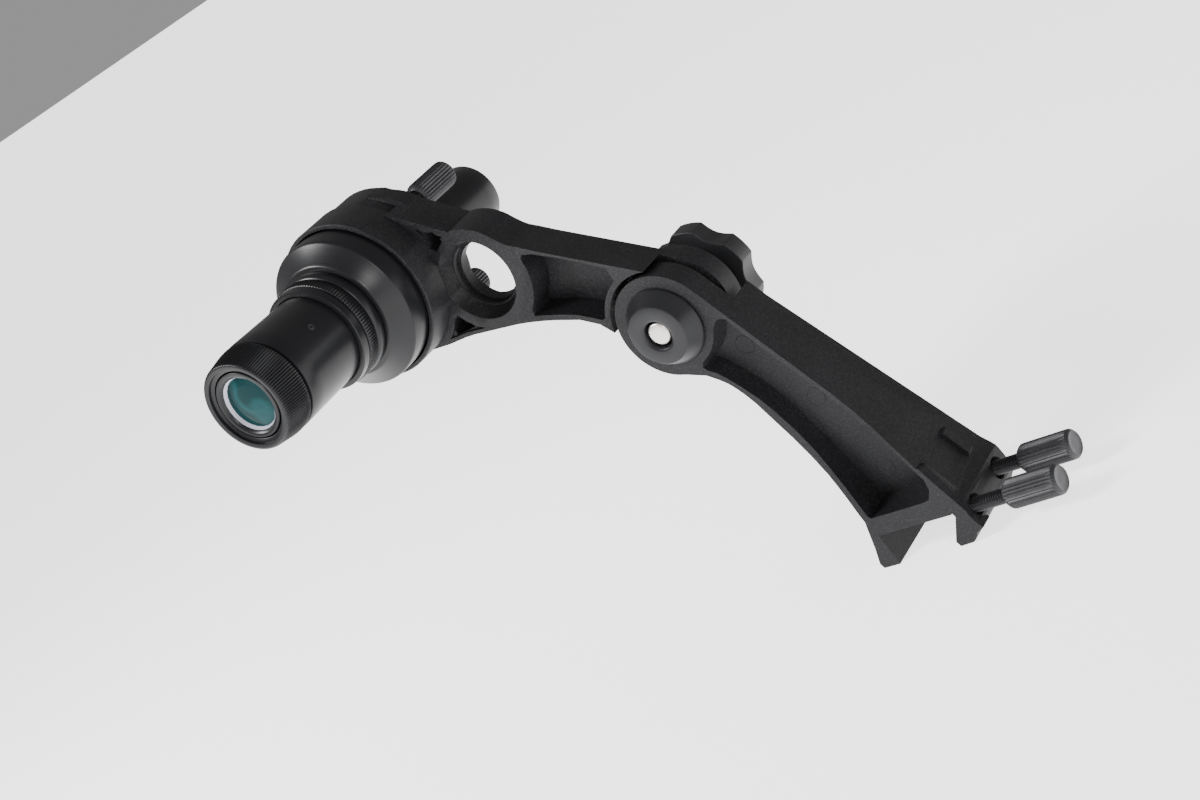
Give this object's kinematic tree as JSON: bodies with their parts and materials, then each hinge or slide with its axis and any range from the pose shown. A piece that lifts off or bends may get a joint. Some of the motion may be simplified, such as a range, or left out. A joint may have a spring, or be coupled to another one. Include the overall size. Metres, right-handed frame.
{
  "type": "polar alignment scope on folding dovetail arm",
  "caption": "Small sighting scope carried in the ring of a folding two-piece cast arm, with a dovetail clamp tightened by knurled thumbscrews.",
  "frame": {"origin": "centre of the dovetail seat of the clamp arm", "axes": "+Z out of the seat towards the hinge, +X along the clamp screws towards their heads, +Y along the hinge and optical axes away from the eyepiece"},
  "size_m": [0.2062, 0.1346, 0.1721],
  "materials": {
    "cast_paint": "fine textured black paint on die-cast alloy",
    "anodised": "satin black anodised",
    "screw_black": "charcoal anodised, knurled",
    "knob_plastic": "moulded, fine matt",
    "plain_steel": "turned",
    "rubber": "matt",
    "coated_glass": "clear with a green-blue coating"
  },
  "bodies": {
    "clamp_arm": {"clamp_arm": "cast_paint", "hinge_cap": "anodised", "hinge_washer": "rubber"},
    "hinge_bolt": {"hinge_bolt": "plain_steel"},
    "hinge_knob": {"hinge_knob": "knob_plastic"},
    "ring_arm": {"ring_arm": "cast_paint", "knob_washer": "plain_steel"},
    "clamp_stud_near": {"clamp_stud_near": "screw_black"},
    "clamp_head_near": {"clamp_head_near": "screw_black"},
    "clamp_stud_far": {"clamp_stud_far": "screw_black"},
    "clamp_head_far": {"clamp_head_far": "screw_black"},
    "tilt_stud_top": {"tilt_stud_top": "screw_black"},
    "tilt_head_top": {"tilt_head_top": "screw_black"},
    "tilt_stud_bottom": {"tilt_stud_bottom": "screw_black"},
    "tilt_head_bottom": {"tilt_head_bottom": "screw_black"},
    "tilt_stud_side": {"tilt_stud_side": "screw_black"},
    "tilt_head_side": {"tilt_head_side": "screw_black"},
    "gimbal": {"spring_ring": "rubber"},
    "scope": {"scope_tube": "anodised", "reticle_cell": "anodised", "reticle": "coated_glass", "field_lens": "coated_glass", "date_ring": "anodised", "stop_ring": "anodised", "adapter_flange": "anodised", "objective_tube": "anodised", "objective_lens": "coated_glass", "objective_retainer": "anodised"},
    "index_ring": {"index_ring": "anodised"},
    "eyepiece_cell": {"eyepiece_cell": "anodised", "eyepiece_lens": "coated_glass", "eyepiece_retainer": "anodised"},
    "eyepiece_ring": {"eyepiece_ring": "anodised"}
  },
  "joints": [
    {"name": "arm_fold", "type": "hinge", "parent": "clamp_arm", "child": "ring_arm", "pos_m": [-0.042, 0, 0.084], "axis": [0, 1, 0], "range_deg": [-55, 55]},
    {"name": "hinge_knob_travel", "type": "slide", "parent": "clamp_arm", "child": "hinge_bolt", "axis": [0, 1, 0], "range_m": [0, 0.0025]},
    {"name": "hinge_knob_turn", "type": "hinge", "parent": "hinge_bolt", "child": "hinge_knob", "pos_m": [-0.042, 0.0105, 0.084], "axis": [0, 1, 0], "range_deg": [-2, 722]},
    {"name": "clamp_screw_near_travel", "type": "slide", "parent": "clamp_arm", "child": "clamp_stud_near", "axis": [1, 0, 0], "range_m": [-0.004, 0.0024]},
    {"name": "clamp_screw_near_turn", "type": "hinge", "parent": "clamp_stud_near", "child": "clamp_head_near", "pos_m": [0.028, -0.0096, -0.0021], "axis": [1, 0, 0], "range_deg": [-1802, 1082]},
    {"name": "clamp_screw_far_travel", "type": "slide", "parent": "clamp_arm", "child": "clamp_stud_far", "axis": [1, 0, 0], "range_m": [-0.0015, 0.0024]},
    {"name": "clamp_screw_far_turn", "type": "hinge", "parent": "clamp_stud_far", "child": "clamp_head_far", "pos_m": [0.028, 0.0096, -0.0021], "axis": [1, 0, 0], "range_deg": [-677, 1082]},
    {"name": "tilt_screw_top_travel", "type": "slide", "parent": "ring_arm", "child": "tilt_stud_top", "axis": [0, 1, 0], "range_m": [-0.0008, 0.0024]},
    {"name": "tilt_screw_top_turn", "type": "hinge", "parent": "tilt_stud_top", "child": "tilt_head_top", "pos_m": [-0.11555, 0.0105, 0.14892], "axis": [0, 1, 0], "range_deg": [-362, 1082]},
    {"name": "tilt_screw_bottom_travel", "type": "slide", "parent": "ring_arm", "child": "tilt_stud_bottom", "axis": [0, 1, 0], "range_m": [-0.0008, 0.0024]},
    {"name": "tilt_screw_bottom_turn", "type": "hinge", "parent": "tilt_stud_bottom", "child": "tilt_head_bottom", "pos_m": [-0.1296, 0.0105, 0.11232], "axis": [0, 1, 0], "range_deg": [-362, 1082]},
    {"name": "tilt_screw_side_travel", "type": "slide", "parent": "ring_arm", "child": "tilt_stud_side", "axis": [0, 1, 0], "range_m": [-0.0008, 0.0024]},
    {"name": "tilt_screw_side_turn", "type": "hinge", "parent": "tilt_stud_side", "child": "tilt_head_side", "pos_m": [-0.15257, 0.0105, 0.14172], "axis": [0, 1, 0], "range_deg": [-362, 1082]},
    {"name": "scope_tilt_updown", "type": "hinge", "parent": "ring_arm", "child": "gimbal", "pos_m": [-0.1319, -0.0058, 0.1342], "axis": [1, 0, 0], "range_deg": [-0.8, 0.8]},
    {"name": "scope_tilt_sideways", "type": "hinge", "parent": "gimbal", "child": "scope", "pos_m": [-0.1319, -0.0058, 0.1342], "axis": [0, 0, 1], "range_deg": [-0.8, 0.8]},
    {"name": "index_ring_turn", "type": "hinge", "parent": "scope", "child": "index_ring", "pos_m": [-0.1319, -0.0393, 0.1342], "axis": [0, 1, 0], "continuous": true},
    {"name": "focus_travel", "type": "slide", "parent": "scope", "child": "eyepiece_cell", "axis": [0, -1, 0], "range_m": [-0.00025, 0.0015]},
    {"name": "focus_turn", "type": "hinge", "parent": "eyepiece_cell", "child": "eyepiece_ring", "pos_m": [-0.1319, -0.0765, 0.1342], "axis": [0, -1, 0], "range_deg": [-92, 542]}
  ],
  "couplings": [
    {"joint": "hinge_knob_turn", "follows": "hinge_knob_travel", "rad_per_m": 5026.5},
    {"joint": "clamp_screw_near_turn", "follows": "clamp_screw_near_travel", "rad_per_m": 7854},
    {"joint": "clamp_screw_far_turn", "follows": "clamp_screw_far_travel", "rad_per_m": 7854},
    {"joint": "tilt_screw_top_turn", "follows": "tilt_screw_top_travel", "rad_per_m": 7854},
    {"joint": "tilt_screw_bottom_turn", "follows": "tilt_screw_bottom_travel", "rad_per_m": 7854},
    {"joint": "tilt_screw_side_turn", "follows": "tilt_screw_side_travel", "rad_per_m": 7854},
    {"joint": "focus_turn", "follows": "focus_travel", "rad_per_m": 6283.2}
  ]
}
